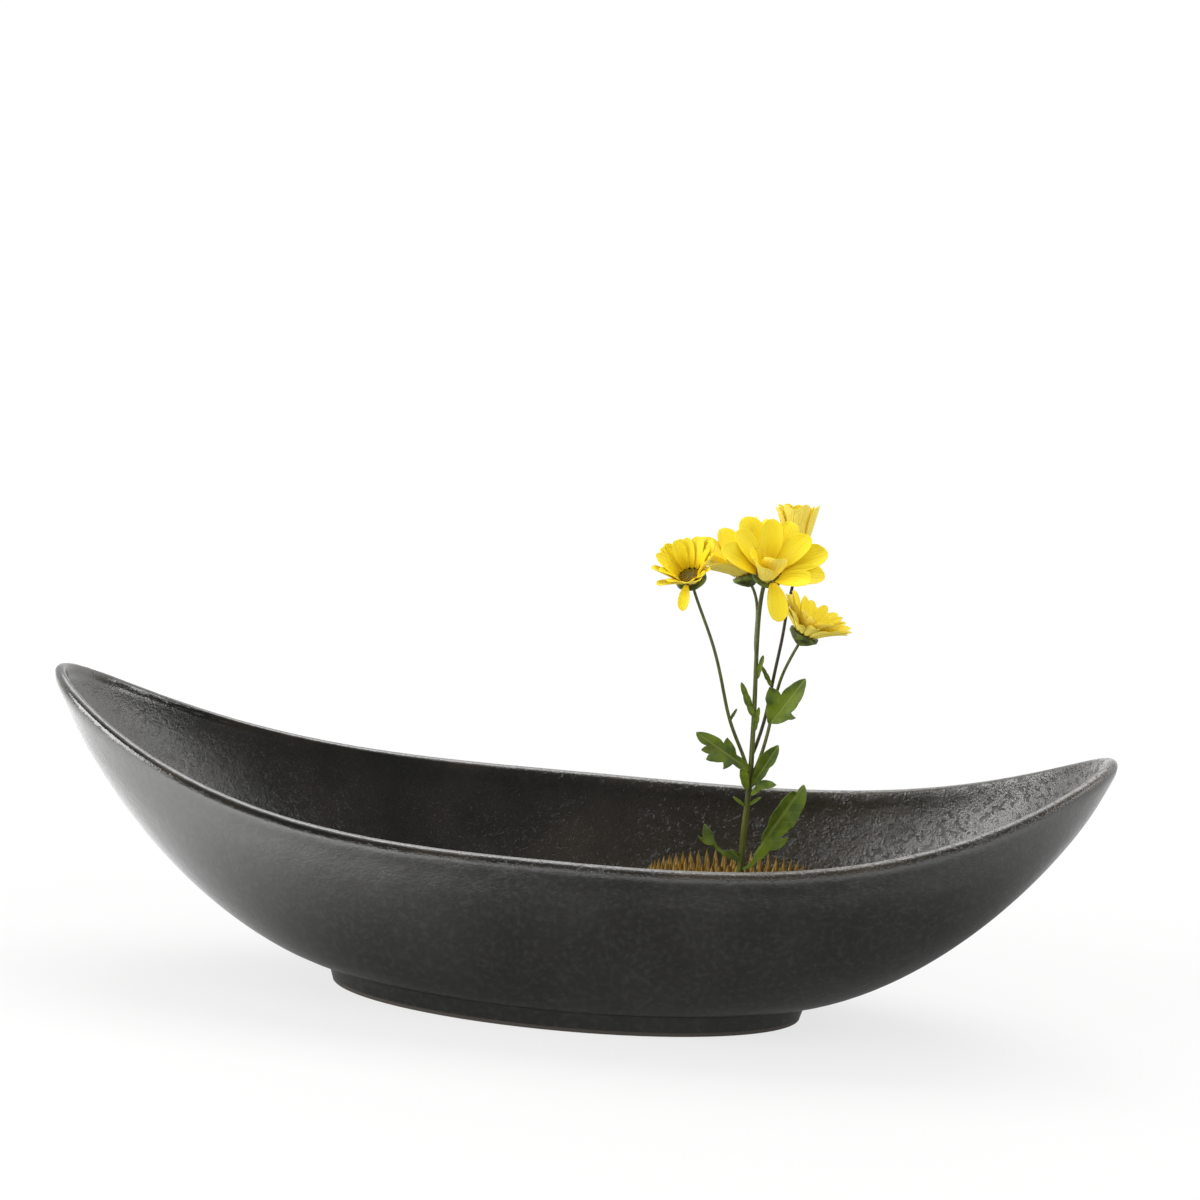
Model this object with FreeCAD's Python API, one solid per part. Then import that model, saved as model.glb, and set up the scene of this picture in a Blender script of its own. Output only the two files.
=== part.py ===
import FreeCAD, Part
import math
import os
from FreeCAD import Vector

# Ikebana set: a boat-shaped stoneware bowl (suiban), a round pin holder (kenzan) in a rubber ring
# seated on its floor, and one cut spray of yellow daisies standing between the pins.
# Millimetres, +Z up, origin on the table under the middle of the foot, +X along the bowl.

os.makedirs("parts", exist_ok=True)

# Bowl, outside
bowl_length = 290.0
bowl_width = 89.0
rim_height = 51.5
rim_rise = 29.5
rim_lip = 3.2
foot_length = 132.0
foot_width = 63.0
foot_height = 6.0
foot_draft = 1.8
foot_ring_width = 9.0
foot_recess = 3.5

# Bowl, shape of its curves
rim_rise_power_share = 3.15
rim_plan_power_share = 2.32
rim_plan_root_share = 0.554
oval_power_share = 2.0
oval_root_share = 0.5
outside_reach_share = 1.26
outside_climb_share = 1.54
inside_reach_share = 1.6
inside_climb_share = 1.5
outline_points = 48
wall_levels = 9
lip_levels = 5

# Pin holder
ring_diameter = 56.5
ring_height = 9.0
ring_wall = 2.0
ring_edge_round = 0.8
ring_sole = 1.2
ring_sole_width = 3.0
base_clearance = 0.05
base_height = 10.3
base_shoulder = 8.2
base_bevel = 1.75
base_corner = 0.4
pin_diameter = 1.2
pin_height = 14.0
pin_point_height = 2.4
pin_point_diameter = 0.16
pin_edge_room = 0.25
pin_rings = 10
pins_per_ring_step = 6
straight_rings = 2
swirl_degrees = 5.0
swirl_step_degrees = 55.0
stem_side_degrees = -55.0

# Bowl, inside: the floor carries the pin holder
floor_side_room = 7.5
floor_length = 160.0
floor_width = ring_diameter + floor_side_room
floor_height = 13.5
floor_power_share = 2.6
floor_root_share = 0.385
holder_place_share = 0.55

# Spray: stem, stalks and leaves
spray_height = 100.0
stem_diameter = 2.0
stem_clearance = 0.32
stem_insertion = 8.0
stem_top_diameter = 1.15
stalk_low_diameter = 1.0
stalk_top_diameter = 0.8
stem_taper_power_share = 2.2
stalk_taper_power_share = 1.0
leaf_thickness = 0.45
bract_thickness = 0.4
bract_width = 1.5
stalk_sections = 12

# Blooms
small_petal_length = 9.5
small_petal_width = 2.8
small_petal_count = 18
large_petal_length = 13.0
large_petal_width = 4.6
large_petal_count = 12
middle_petal_length = 11.5
middle_petal_width = 3.8
middle_petal_count = 12
petal_thickness = 0.35
petal_gap = 0.2
whorl_step = 0.7
disc_diameter = 6.4
disc_dome = 1.7
calyx_rim = 1.0
calyx_height = 3.4
calyx_neck_diameter = 1.8
stalk_bury = 0.6
petal_camber_share = 0.14
petal_width_shares = [0.3, 0.74, 1.0, 0.88, 0.36]
calyx_neck_share = 0.7
calyx_side_share = 0.25

# How steeply the petals of each bloom rise, how far they curl back, and how much flatter the outer whorl lies
left_rise_degrees = 72
left_curl_degrees = 16
left_whorl_degrees = 11
left_spin_degrees = 41
centre_rise_degrees = 70
centre_curl_degrees = 14
centre_whorl_degrees = 14
centre_spin_degrees = 39
front_rise_degrees = 36
front_curl_degrees = 22
front_whorl_degrees = 14
front_spin_degrees = 0
back_rise_degrees = 80
back_curl_degrees = 8
back_whorl_degrees = 8
back_spin_degrees = 30
lower_rise_degrees = 58
lower_curl_degrees = 18
lower_whorl_degrees = 14
lower_spin_degrees = 0

kept_nodes = {}


def keep(node, shape):
    kept_nodes[node] = shape
    shape.exportStep("parts/" + node + ".step")


# Bowl

def oval(length, width, power, root):
    """Flat outline, as points: half the width narrows towards both ends."""
    points = []
    for step in range(outline_points):
        turn = 2 * math.pi * step / outline_points
        along = math.cos(turn)
        narrowing = max(0.0, 1 - abs(along) ** power) ** root
        side = math.copysign(narrowing, math.sin(turn))
        points.append(Vector(length / 2 * along, width / 2 * side, 0))
    return points


def raised(points, heights):
    return [Vector(point.x, point.y, height) for point, height in zip(points, heights)]


def wall_section(low, high, level, reach, climb):
    """Points of one level of a wall that leaves its low outline flat and meets its high one upright."""
    turn = level * math.pi / 2
    out = math.sin(turn) ** reach
    up = 1 - math.cos(turn) ** climb
    section = []
    for foot_point, rim_point in zip(low, high):
        span = rim_point - foot_point
        section.append(foot_point + Vector(span.x * out, span.y * out, span.z * up))
    return section


def lip_section(outer, inner, turn):
    """Points of the round edge that joins the outer wall to the inner one."""
    section = []
    for outer_point, inner_point in zip(outer, inner):
        middle = (outer_point + inner_point) / 2
        half = (outer_point - inner_point) / 2
        rise = Vector(0, 0, rim_lip / 2 * math.sin(turn))
        section.append(middle + half * math.cos(turn) + rise)
    return section


def closed_wire(points):
    curve = Part.BSplineCurve()
    curve.interpolate(Points=points, PeriodicFlag=True)
    return Part.Wire([curve.toShape()])


def make_bowl():
    flat_rim = oval(bowl_length, bowl_width, rim_plan_power_share, rim_plan_root_share)
    flat_inner_rim = oval(bowl_length - 2 * rim_lip, bowl_width - 2 * rim_lip,
                          rim_plan_power_share, rim_plan_root_share)
    lip_low = rim_height - rim_lip / 2
    heights = []
    for point in flat_rim:
        along = abs(point.x) / (bowl_length / 2)
        heights.append(lip_low + rim_rise * along ** rim_rise_power_share)
    rim = raised(flat_rim, heights)
    inner_rim = raised(flat_inner_rim, heights)

    foot_top = raised(oval(foot_length, foot_width, oval_power_share, oval_root_share),
                      [foot_height] * outline_points)
    floor = raised(oval(floor_length, floor_width, floor_power_share, floor_root_share),
                   [floor_height] * outline_points)

    sections = []
    for step in range(wall_levels + 1):
        level = step / wall_levels
        sections.append(wall_section(foot_top, rim, level, outside_reach_share, outside_climb_share))
    for step in range(1, lip_levels + 1):
        turn = math.pi * step / (lip_levels + 1)
        sections.append(lip_section(rim, inner_rim, turn))
    for step in range(wall_levels + 1):
        level = 1 - step / wall_levels
        sections.append(wall_section(floor, inner_rim, level, inside_reach_share, inside_climb_share))
    body = Part.makeLoft([closed_wire(points) for points in sections], True, False)

    foot_low = oval(foot_length - 2 * foot_draft, foot_width - 2 * foot_draft,
                    oval_power_share, oval_root_share)
    foot = Part.makeLoft([closed_wire(foot_low), closed_wire(foot_top)], True, True)
    recess_low = oval(foot_length - 2 * foot_draft - 2 * foot_ring_width,
                      foot_width - 2 * foot_draft - 2 * foot_ring_width,
                      oval_power_share, oval_root_share)
    recess_face = Part.Face(closed_wire(recess_low))
    recess = recess_face.extrude(Vector(0, 0, foot_recess))
    return body.fuse(foot).cut(recess)


keep("suiban_bowl", make_bowl())


# Pin holder

holder_x = floor_length / 2 * holder_place_share
holder_seat = Vector(holder_x, 0, floor_height)
base_low = floor_height + ring_sole
base_top = base_low + base_height
base_radius = ring_diameter / 2 - ring_wall - base_clearance
plate_radius = base_radius - base_bevel
pin_tips = base_top + pin_height
pin_pitch = (plate_radius - pin_edge_room - pin_diameter / 2) / pin_rings


def turned(profile, centre):
    """Solid of revolution about the upright line through centre; profile is radius and height."""
    points = [Vector(centre.x + radius, centre.y, height) for radius, height in profile]
    face = Part.Face(Part.makePolygon(points + points[:1]))
    return face.revolve(centre, Vector(0, 0, 1), 360)


def make_ring():
    outer = ring_diameter / 2
    bore = outer - ring_wall
    low = floor_height
    top = low + ring_height
    profile = [(bore - ring_sole_width, low), (outer, low), (outer, top), (bore, top),
               (bore, low + ring_sole), (bore - ring_sole_width, low + ring_sole)]
    ring = turned(profile, holder_seat)

    def is_top_outer(edge):
        box = edge.BoundBox
        return box.ZMin > top - ring_edge_round and box.XMax > holder_x + bore + ring_wall / 2

    return ring.makeFillet(ring_edge_round, [edge for edge in ring.Edges if is_top_outer(edge)])


def make_base():
    shoulder = base_low + base_shoulder
    profile = [(0, base_low), (base_radius - base_corner, base_low), (base_radius, base_low + base_corner),
               (base_radius, shoulder - base_corner), (base_radius - base_corner, shoulder),
               (plate_radius + base_corner, base_top - base_corner), (plate_radius, base_top), (0, base_top)]
    return turned(profile, holder_seat)


def make_pins():
    radius = pin_diameter / 2
    point = pin_point_diameter / 2
    shoulder = pin_tips - pin_point_height
    profile = [(0, base_top), (radius, base_top), (radius, shoulder), (point, pin_tips), (0, pin_tips)]
    pin = turned(profile, Vector(0, 0, 0))
    pins = [pin.translated(Vector(holder_x, 0, 0))]
    for ring in range(1, pin_rings + 1):
        count = pins_per_ring_step * ring
        swirl = 0.0
        if ring > straight_rings:
            swirl = swirl_degrees * math.sin(math.radians(swirl_step_degrees * (ring - straight_rings)))
        for step in range(count):
            angle = math.radians(stem_side_degrees + swirl + 360 * (step + 0.5) / count)
            place = Vector(ring * pin_pitch * math.cos(angle), ring * pin_pitch * math.sin(angle), 0)
            pins.append(pin.translated(place + Vector(holder_x, 0, 0)))
    return Part.makeCompound(pins)


keep("kenzan_ring", make_ring())
keep("kenzan_base", make_base())
keep("kenzan_pins", make_pins())


# Spray. Places on it are shares of its height, counted from the stem's place at the pins' tips.

stem_side = math.radians(stem_side_degrees)
half_step = math.pi / pins_per_ring_step
near_pin = pin_pitch * math.cos(half_step)
far_pin = 2 * pin_pitch * math.cos(half_step / 2)
gap_middle = (near_pin + far_pin) / 2
gap_radius = math.hypot(gap_middle - near_pin, pin_pitch * math.sin(half_step)) - pin_diameter / 2
wedge_radius = gap_radius - stem_clearance
stem_place = Vector(holder_x + gap_middle * math.cos(stem_side), gap_middle * math.sin(stem_side), pin_tips)

stem_shares = [(0.0, 0.0, 0.02), (0.0, 0.0, 0.077), (0.003, 0.0, 0.163), (0.008, 0.001, 0.25),
               (0.009, 0.001, 0.36), (0.008, 0.0, 0.48), (0.004, -0.002, 0.66)]
left_shares = [(0.004, 0.0, 0.30), (-0.012, -0.006, 0.345), (-0.051, -0.026, 0.443),
               (-0.076, -0.039, 0.539), (-0.110, -0.053, 0.663)]
back_shares = [(0.008, 0.002, 0.345), (0.023, 0.030, 0.393), (0.036, 0.055, 0.457), (0.043, 0.063, 0.51),
               (0.052, 0.070, 0.58), (0.064, 0.086, 0.67), (0.073, 0.094, 0.76)]
right_shares = [(0.008, 0.0, 0.28), (0.032, 0.004, 0.345), (0.052, 0.004, 0.44), (0.071, -0.002, 0.557)]
centre_shares = [(0.006, 0.0, 0.62), (-0.002, 0.018, 0.69)]

bloom_left_share = (-0.176, -0.096, 0.852)
bloom_centre_share = (-0.041, 0.066, 0.833)
bloom_front_share = (0.027, -0.056, 0.872)
bloom_back_share = (0.080, 0.122, 0.900)
bloom_lower_share = (0.132, -0.025, 0.708)
bloom_left_axis = Vector(-0.22, -0.45, 0.87)
bloom_centre_axis = Vector(-0.42, 0.12, 0.90)
bloom_front_axis = Vector(0.22, -0.60, 0.77)
bloom_back_axis = Vector(-0.05, 0.25, 0.97)
bloom_lower_axis = Vector(0.42, 0.05, 0.90)


def on_spray(share):
    return stem_place + Vector(*share) * spray_height


def stalk(points, low_diameter, top_diameter, taper_power, first_circles=()):
    """Round stalk along a smooth line through the points, tapering fastest at its foot."""
    line = Part.BSplineCurve()
    line.interpolate(Points=points)
    first = line.FirstParameter
    span = line.LastParameter - first
    circles = list(first_circles)
    for step in range(stalk_sections + 1):
        share = step / stalk_sections
        place = line.value(first + span * share)
        heading = line.tangent(first + span * share)[0]
        radius = (top_diameter + (low_diameter - top_diameter) * (1 - share) ** taper_power) / 2
        circles.append(Part.Wire([Part.Circle(place, heading, radius).toShape()]))
    return Part.makeLoft(circles, True, False)


def calyx_foot(share, axis, depth):
    return on_spray(share) - Vector(axis).normalize() * depth


def stalk_end(share, axis):
    """Last points of a stalk: in line with its bloom, the end sunk a little into the calyx."""
    straight = calyx_foot(share, axis, calyx_height * 2)
    end = calyx_foot(share, axis, calyx_height - stalk_bury)
    return [straight, end]


stem_foot = stem_place - Vector(0, 0, stem_insertion)
wedge_middle = (stem_place + stem_foot) / 2
wedge_circles = []
for place in (stem_foot, wedge_middle):
    wedge_circles.append(Part.Wire([Part.Circle(place, Vector(0, 0, 1), wedge_radius).toShape()]))
main_points = [on_spray(share) for share in stem_shares]
main_points[0] = stem_place
main_stalk = stalk(main_points + stalk_end(bloom_front_share, bloom_front_axis),
                   stem_diameter, stem_top_diameter, stem_taper_power_share, wedge_circles)
keep("stem_main", main_stalk)

for node, shares, end_share, end_axis in (
        ("stalk_left", left_shares, bloom_left_share, bloom_left_axis),
        ("stalk_centre", centre_shares, bloom_centre_share, bloom_centre_axis),
        ("stalk_back", back_shares, bloom_back_share, bloom_back_axis),
        ("stalk_right", right_shares, bloom_lower_share, bloom_lower_axis)):
    points = [on_spray(share) for share in shares] + stalk_end(end_share, end_axis)
    keep(node, stalk(points, stalk_low_diameter, stalk_top_diameter, stalk_taper_power_share))


# Leaves: flat lobed blades. Outlines are shares of the leaf's own length, along it and across it.

right_upper_shares = [(0.0, 0.02), (0.08, 0.09), (0.3, 0.23), (0.56, 0.36), (0.59, 0.25), (0.55, 0.14),
                      (0.76, 0.12), (1.0, 0.0), (0.87, -0.09), (0.63, -0.15), (0.43, -0.15),
                      (0.44, -0.26), (0.32, -0.19), (0.04, -0.02)]
left_middle_shares = [(0.0, -0.03), (0.3, -0.07), (0.58, -0.2), (0.57, -0.1), (0.76, -0.11), (1.0, 0.0),
                      (0.88, 0.08), (0.76, 0.07), (0.8, 0.17), (0.67, 0.15), (0.67, 0.25), (0.42, 0.13),
                      (0.37, 0.22), (0.27, 0.07), (0.0, 0.03)]
right_lower_shares = [(0.0, 0.015), (0.14, -0.02), (0.3, 0.0), (0.49, 0.05), (0.71, 0.08), (0.9, 0.05),
                      (0.9, 0.01), (1.0, 0.0), (0.94, -0.07), (0.77, -0.12), (0.57, -0.12),
                      (0.46, -0.09), (0.52, -0.16), (0.43, -0.16), (0.31, -0.09), (0.14, -0.06),
                      (0.0, -0.015)]
left_lower_shares = [(0.0, 0.03), (0.24, 0.14), (0.41, 0.17), (0.62, 0.16), (0.77, 0.26), (0.98, 0.23),
                     (0.85, 0.2), (0.97, 0.07), (1.0, 0.0), (0.86, 0.01), (0.74, 0.03), (0.62, 0.1),
                     (0.43, 0.11), (0.27, -0.02), (0.0, -0.03)]
right_middle_shares = [(0.0, -0.02), (0.38, 0.1), (0.64, 0.17), (1.0, 0.0), (0.79, -0.1), (0.53, -0.09)]
on_stem_shares = [(0.0, 0.02), (0.55, 0.12), (1.0, 0.0), (0.87, -0.16), (0.49, -0.16)]
right_small_shares = [(0.0, 0.0), (0.3, 0.2), (0.6, 0.3), (0.85, 0.2), (1.0, 0.0), (0.48, 0.06)]
bract_shares = [(0.0, 0.2), (0.55, 0.5), (1.0, 0.0), (0.55, -0.5), (0.0, -0.2)]


def blade(base, tip, facing, outline_shares, thickness, across=None):
    """Flat leaf between base and tip whose face looks along facing."""
    length_line = tip - base
    length = length_line.Length
    along = Vector(length_line).normalize()
    side = Vector(facing).cross(along).normalize()
    normal = along.cross(side).normalize()
    width = length if across is None else across
    points = [base + along * (length * u) + side * (width * v) for u, v in outline_shares]
    face = Part.Face(Part.makePolygon(points + points[:1]))
    face.translate(normal * (-thickness / 2))
    return face.extrude(normal * thickness)


leaf_places = {
    "leaf_right_upper": ((0.052, -0.002, 0.44), (0.139, -0.044, 0.582), (0.1, -1, 0.35), right_upper_shares),
    "leaf_left_middle": ((0.006, -0.006, 0.31), (-0.135, -0.056, 0.414), (-0.1, -1, 0.45), left_middle_shares),
    "leaf_right_lower": ((0.006, -0.008, 0.03), (0.158, -0.042, 0.286), (0.3, -1, 0.3), right_lower_shares),
    "leaf_left_lower": ((0.0, -0.004, 0.055), (-0.097, -0.052, 0.159), (-0.1, -1, 0.5), left_lower_shares),
    "leaf_right_middle": ((0.012, -0.004, 0.262), (0.081, -0.031, 0.389), (0.2, -1, 0.3), right_middle_shares),
    "leaf_on_stem": ((0.006, -0.008, 0.25), (-0.015, -0.032, 0.32), (-0.1, -1, 0.2), on_stem_shares),
    "leaf_right_small": ((0.012, -0.003, 0.235), (0.081, -0.031, 0.281), (0.1, -1, 0.6), right_small_shares),
}
for node, (base_share, tip_share, facing, outline_shares) in leaf_places.items():
    keep(node, blade(on_spray(base_share), on_spray(tip_share), Vector(*facing), outline_shares,
                     leaf_thickness))

bract_places_shares = [((0.006, -0.004, 0.462), (-0.031, -0.01, 0.556)),
                       ((0.012, -0.004, 0.42), (0.022, -0.01, 0.49)),
                       ((0.0, -0.006, 0.208), (-0.033, -0.012, 0.233)),
                       ((0.012, -0.004, 0.212), (0.043, -0.01, 0.238))]
bracts = []
for base_share, tip_share in bract_places_shares:
    bracts.append(blade(on_spray(base_share), on_spray(tip_share), Vector(0, -1, 0), bract_shares,
                        bract_thickness, bract_width))
keep("bracts", Part.makeCompound(bracts))


# Blooms. Each is made upright with its petals' seat at the origin, then leaned and put in place.

disc_radius = disc_diameter / 2
calyx_radius = disc_radius + calyx_rim


def petal(length, width, base_radius, base_height_z, rise_degrees, curl_degrees):
    """One channelled petal that climbs from the calyx rim and curls outwards."""
    sections = []
    place = Vector(base_radius, 0, base_height_z)
    steps = len(petal_width_shares) - 1
    for index, width_share in enumerate(petal_width_shares):
        angle = math.radians(rise_degrees - curl_degrees * index / steps)
        heading = Vector(math.cos(angle), 0, math.sin(angle))
        inward = Vector(-math.sin(angle), 0, math.cos(angle))
        half = Vector(0, width * width_share / 2, 0)
        camber = width * width_share * petal_camber_share
        left = place - half
        right = place + half
        upper = place + inward * (petal_thickness / 2 - camber)
        lower = place - inward * (petal_thickness / 2 + camber)
        edges = [Part.Arc(left, upper, right).toShape(), Part.Arc(right, lower, left).toShape()]
        sections.append(Part.Wire(edges))
        place = place + heading * (length / steps)
    return Part.makeLoft(sections, True, False)


def make_bloom(name, share, axis, petal_length, petal_width, petal_count,
               rise_degrees, curl_degrees, whorl_degrees, spin_degrees):
    lean = FreeCAD.Rotation(Vector(0, 0, 1), Vector(axis).normalize())
    seat = FreeCAD.Placement(on_spray(share), lean)

    def put(node, shape):
        placed = shape.copy()
        placed.Placement = seat.multiply(placed.Placement)
        keep("bloom_" + name + "_" + node, placed)

    neck = calyx_neck_diameter / 2
    bulge = (neck + calyx_radius) / 2
    calyx_profile = [(0, -calyx_height), (neck, -calyx_height), (bulge, -calyx_height * calyx_neck_share),
                     (calyx_radius, -calyx_height * calyx_side_share), (calyx_radius, 0), (0, 0)]
    put("calyx", turned(calyx_profile, Vector(0, 0, 0)))

    dome_radius = (disc_radius ** 2 + disc_dome ** 2) / (2 * disc_dome)
    dome_edge_degrees = math.degrees(math.asin((dome_radius - disc_dome) / dome_radius))
    dome = Part.makeSphere(dome_radius, Vector(0, 0, disc_dome - dome_radius), Vector(0, 0, 1),
                           dome_edge_degrees, 90, 360)
    put("disc", dome)

    seat_height = petal_thickness / 2 + petal_width * petal_camber_share * petal_width_shares[0] + petal_gap
    inner_petal = petal(petal_length, petal_width, disc_radius + petal_gap, seat_height,
                        rise_degrees, curl_degrees)
    outer_petal = petal(petal_length, petal_width, disc_radius + whorl_step, seat_height,
                        rise_degrees - whorl_degrees, curl_degrees)
    petals = []
    for step in range(petal_count):
        one = inner_petal if step % 2 else outer_petal
        angle = spin_degrees + 360 * step / petal_count
        petals.append(one.rotated(Vector(0, 0, 0), Vector(0, 0, 1), angle))
    put("petals", Part.makeCompound(petals))


make_bloom("left", bloom_left_share, bloom_left_axis, small_petal_length, small_petal_width,
           small_petal_count, left_rise_degrees, left_curl_degrees, left_whorl_degrees,
           left_spin_degrees)
make_bloom("centre", bloom_centre_share, bloom_centre_axis, large_petal_length, large_petal_width,
           large_petal_count, centre_rise_degrees, centre_curl_degrees, centre_whorl_degrees,
           centre_spin_degrees)
make_bloom("front", bloom_front_share, bloom_front_axis, large_petal_length, large_petal_width,
           large_petal_count, front_rise_degrees, front_curl_degrees, front_whorl_degrees,
           front_spin_degrees)
make_bloom("back", bloom_back_share, bloom_back_axis, middle_petal_length, middle_petal_width,
           middle_petal_count, back_rise_degrees, back_curl_degrees, back_whorl_degrees,
           back_spin_degrees)
make_bloom("lower", bloom_lower_share, bloom_lower_axis, small_petal_length, small_petal_width,
           small_petal_count, lower_rise_degrees, lower_curl_degrees, lower_whorl_degrees,
           lower_spin_degrees)

for node, shape in kept_nodes.items():
    print(node, "solids", len(shape.Solids), "volume", round(shape.Volume, 1), "valid", shape.isValid())
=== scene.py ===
import math
import random

import bmesh
import bpy
from mathutils import Matrix, Vector


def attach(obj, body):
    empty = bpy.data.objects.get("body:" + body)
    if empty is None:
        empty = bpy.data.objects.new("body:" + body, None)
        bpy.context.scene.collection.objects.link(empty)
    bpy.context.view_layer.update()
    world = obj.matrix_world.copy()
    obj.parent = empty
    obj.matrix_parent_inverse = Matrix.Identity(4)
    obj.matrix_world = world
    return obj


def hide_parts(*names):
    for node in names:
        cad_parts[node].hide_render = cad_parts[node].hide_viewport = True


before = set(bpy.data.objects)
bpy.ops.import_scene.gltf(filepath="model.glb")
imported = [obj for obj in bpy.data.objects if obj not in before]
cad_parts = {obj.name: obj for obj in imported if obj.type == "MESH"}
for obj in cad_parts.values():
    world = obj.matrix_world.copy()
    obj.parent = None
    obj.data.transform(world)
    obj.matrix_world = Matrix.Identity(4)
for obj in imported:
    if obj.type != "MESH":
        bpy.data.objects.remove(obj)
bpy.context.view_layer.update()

bpy.ops.object.select_all(action="DESELECT")


# Camera
# It looks down a little on the bowl from the front and slightly from the right, through a long
# lens, and is turned on its own axis, so that the bowl dips to the right as in the photograph.

camera_place = Vector((0.2229, -1.8996, 0.6247))
camera_aim = Vector((0.0007, 0.0195, 0.1073))
camera_turn_degrees = 3.42
camera_lens_mm = 220.9
camera_sensor_mm = 36
camera_sees_from = 0.05
camera_sees_to = 40

bpy.ops.object.camera_add(location=camera_place)
camera = bpy.context.object
camera.name = "camera"
camera.data.lens = camera_lens_mm
camera.data.sensor_width = camera_sensor_mm
camera.data.clip_start = camera_sees_from
camera.data.clip_end = camera_sees_to
camera_look = (camera_aim - camera_place).to_track_quat("-Z", "Y").to_matrix().to_4x4()
camera_turn = Matrix.Rotation(math.radians(camera_turn_degrees), 4, "Z")
camera.matrix_world = Matrix.Translation(camera_place) @ camera_look @ camera_turn
bpy.context.scene.camera = camera
bpy.context.scene.view_settings.view_transform = "Standard"


# Finishes
# Every surface below is worked out from its place on the object. A Shade is one value or colour
# on the way to a surface, and sums of Shades are written as sums.

# the mix node has sockets of several kinds under one name, so they are found by number
mix_share_input = 0
mix_first_input = 6
mix_second_input = 7
mix_colour_output = 2


class Shade:
    def __init__(self, tree, socket):
        self.tree = tree
        self.socket = socket

    def node(self, kind, settings, inputs, output=0):
        """Adds a node, sets its choices, then fills its sockets with numbers or other Shades."""
        made = self.tree.nodes.new(kind)
        for name, choice in settings.items():
            if name == "stops":
                while len(made.color_ramp.elements) < len(choice):
                    made.color_ramp.elements.new(0.5)
                for element, (share, colour) in zip(made.color_ramp.elements, choice):
                    element.position = share
                    element.color = colour
            else:
                setattr(made, name, choice)
        for name, value in inputs.items():
            if isinstance(value, Shade):
                self.tree.links.new(value.socket, made.inputs[name])
            else:
                made.inputs[name].default_value = value
        return Shade(self.tree, made.outputs[output])

    def sum(self, operation, first, second):
        return self.node("ShaderNodeMath", {"operation": operation}, {0: first, 1: second})

    def through(self, operation):
        """This number after an operation that takes one number only, such as SINE."""
        return self.node("ShaderNodeMath", {"operation": operation}, {0: self})

    def __add__(self, other):
        return self.sum("ADD", self, other)

    __radd__ = __add__

    def __sub__(self, other):
        return self.sum("SUBTRACT", self, other)

    def __rsub__(self, other):
        return self.sum("SUBTRACT", other, self)

    def __mul__(self, other):
        return self.sum("MULTIPLY", self, other)

    __rmul__ = __mul__

    def __truediv__(self, other):
        return self.sum("DIVIDE", self, other)

    def __pow__(self, other):
        return self.sum("POWER", self, other)

    def band(self, low, high):
        """0 below low, 1 above high and a soft step between."""
        return self.node("ShaderNodeMapRange", {"interpolation_type": "SMOOTHSTEP"},
                         {"Value": self, "From Min": low, "From Max": high})

    def axis(self, name):
        return self.node("ShaderNodeSeparateXYZ", {}, {"Vector": self}, name)

    def length(self):
        """How far this place is from the origin."""
        return self.node("ShaderNodeVectorMath", {"operation": "LENGTH"}, {0: self}, "Value")

    def flat(self):
        """The place on a leaf or petal laid flat: X from its root to its tip, Y across it."""
        return self.node("ShaderNodeUVMap", {"uv_map": "UVMap"}, {}, "UV")

    def stretched(self, x, y, z):
        """A place whose three directions are multiplied, so that what reads it is drawn out."""
        return self.node("ShaderNodeVectorMath", {"operation": "MULTIPLY"}, {0: self, 1: (x, y, z)})

    def grain(self, scale, detail=2.0, roughness=0.5, distortion=0.0):
        """Cloudy noise round 0.5, with so many clouds to the metre."""
        return self.node("ShaderNodeTexNoise", {},
                         {"Vector": self, "Scale": scale, "Detail": detail, "Roughness": roughness,
                          "Distortion": distortion})

    def mixed(self, first, second):
        """A colour from first, where this is 0, to second, where this is 1."""
        return self.node("ShaderNodeMix", {"data_type": "RGBA"},
                         {mix_share_input: self, mix_first_input: first, mix_second_input: second},
                         mix_colour_output)


def tint(red, green, blue):
    """A colour as it shows, 0 to 255, in the linear values that a surface takes."""
    linear = []
    for shown in (red, green, blue):
        share = shown / 255
        linear.append(share / 12.92 if share < 0.04045 else ((share + 0.055) / 1.055) ** 2.4)
    return (*linear, 1.0)


def new_finish(name):
    """A bare finish, and the place on the object that its patterns are worked out from."""
    finish = bpy.data.materials.new(name)
    finish.use_nodes = True
    tree = finish.node_tree
    place = Shade(tree, tree.nodes.new("ShaderNodeTexCoord").outputs["Object"])
    return finish, place


def lay_on(finish, height=None, height_reach=0.001, **sockets):
    """Connects or sets the surface's sockets. Height, 0 to 1, is a relief over its reach in metres."""
    surface = finish.node_tree.nodes["Principled BSDF"]
    if height is not None:
        bump = height.node("ShaderNodeBump", {}, {"Height": height, "Distance": height_reach,
                                                  "Strength": 1.0})
        sockets["Normal"] = bump
    for name, value in sockets.items():
        socket = surface.inputs[name.replace("_", " ")]
        if isinstance(value, Shade):
            finish.node_tree.links.new(value.socket, socket)
        else:
            socket.default_value = value


# Studio
# A plain white sweep of paper under and behind the bowl, a wide soft window low at the left, a
# smaller one at the right, and a soft panel above. None of it is part of the object.

paper_width = 12.0
paper_drop = 0.0002
paper_colour = tint(236, 236, 235)
paper_black = tint(0, 0, 0)
paper_near = 0.18
paper_far = 0.45
shadow_level = 0.72
mirrored_near = 0.12
mirrored_far = 0.25
painted_shadow_under_bowl = 0.2
painted_light_left = 1.7
left_side = -0.16
left_near = 0.04
left_far = 0.16
sky_strength = 0.52
room_strength = 0.1
back_strength = 1.7
overhead_strength = 0.5
room_side = -0.45
sky_side = 0.25

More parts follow.
